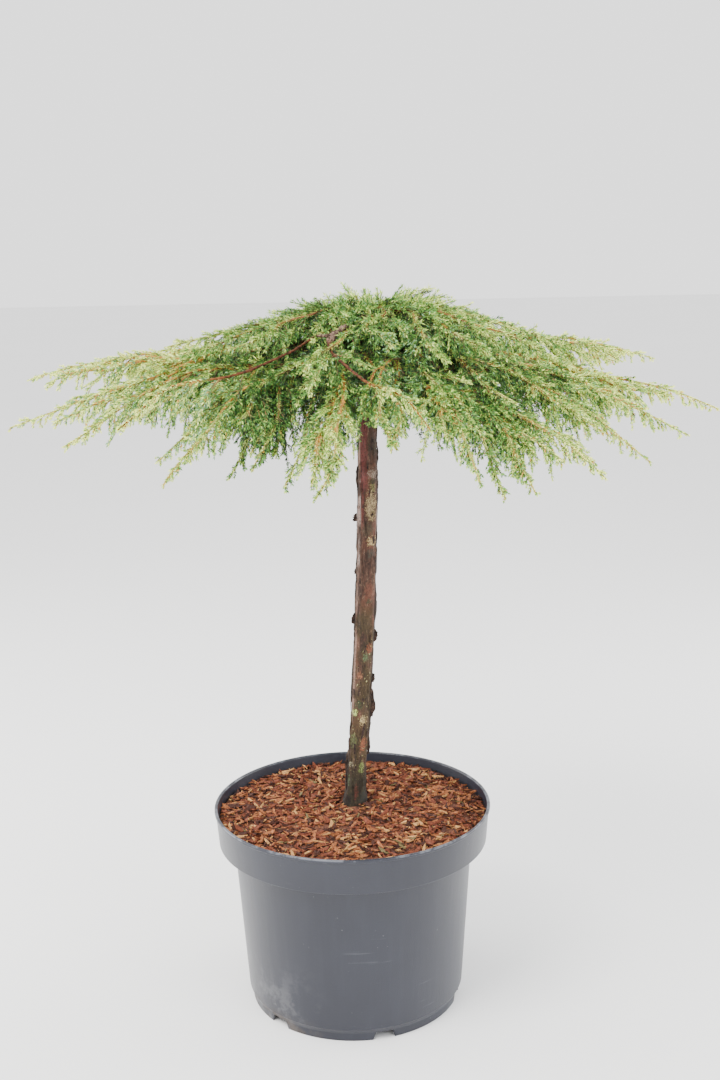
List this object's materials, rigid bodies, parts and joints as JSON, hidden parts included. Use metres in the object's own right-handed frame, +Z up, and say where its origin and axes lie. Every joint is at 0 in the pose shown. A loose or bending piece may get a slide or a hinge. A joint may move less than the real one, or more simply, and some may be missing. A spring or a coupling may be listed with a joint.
{
  "type": "potted weeping standard juniper",
  "caption": "Evergreen carpet juniper grafted as a standard: bare stem, low umbrella crown of drooping feathery boughs, in a round nursery pot topped with bark mulch.",
  "frame": {"origin": "the middle of the pot's flat underside, on the ground", "axes": "+Z up along the plant's height; -Y towards the side seen first; +X to the right from that side"},
  "size_m": [0.6833, 0.6003, 0.722],
  "materials": {
    "pot_plastic": "satin",
    "bark_mulch": "rough",
    "potting_mix": "rough",
    "stem_bark": "rough",
    "bough_bark": "rough",
    "needles": "matte"
  },
  "bodies": {
    "root": {"bough_back": "bough_bark", "bough_back_left_1": "bough_bark", "bough_back_left_2": "bough_bark", "bough_back_right_1": "bough_bark", "bough_back_right_2": "bough_bark", "bough_front": "bough_bark", "bough_front_left_1": "bough_bark", "bough_front_left_2": "bough_bark", "bough_front_left_3": "bough_bark", "bough_front_right_1": "bough_bark", "bough_front_right_2": "bough_bark", "bough_left_1": "bough_bark", "bough_left_2": "bough_bark", "bough_left_back": "bough_bark", "bough_left_front_1": "bough_bark", "bough_left_front_2": "bough_bark", "bough_right": "bough_bark", "bough_right_back": "bough_bark", "bough_right_front_1": "bough_bark", "bough_right_front_2": "bough_bark", "bough_right_front_3": "bough_bark", "cap_foliage_back_left": "needles", "cap_foliage_back_right": "needles", "cap_foliage_front_left": "needles", "cap_foliage_front_right": "needles", "cap_foliage_left": "needles", "cap_foliage_right": "needles", "cap_foliage_top": "needles", "foliage_back": "needles", "foliage_back_left_1": "needles", "foliage_back_left_2": "needles", "foliage_back_right_1": "needles", "foliage_back_right_2": "needles", "foliage_front": "needles", "foliage_front_left_1": "needles", "foliage_front_left_2": "needles", "foliage_front_left_3": "needles", "foliage_front_right_1": "needles", "foliage_front_right_2": "needles", "foliage_left_1": "needles", "foliage_left_2": "needles", "foliage_left_back": "needles", "foliage_left_front_1": "needles", "foliage_left_front_2": "needles", "foliage_right": "needles", "foliage_right_back": "needles", "foliage_right_front_1": "needles", "foliage_right_front_2": "needles", "foliage_right_front_3": "needles", "mulch": "bark_mulch", "pot": "pot_plastic", "root_ball": "potting_mix", "trunk": "stem_bark", "upper_bough_back_left": "bough_bark", "upper_bough_back_right": "bough_bark", "upper_bough_front_left": "bough_bark", "upper_bough_front_right": "bough_bark", "upper_bough_left": "bough_bark", "upper_bough_right": "bough_bark"}
  },
  "joints": []
}
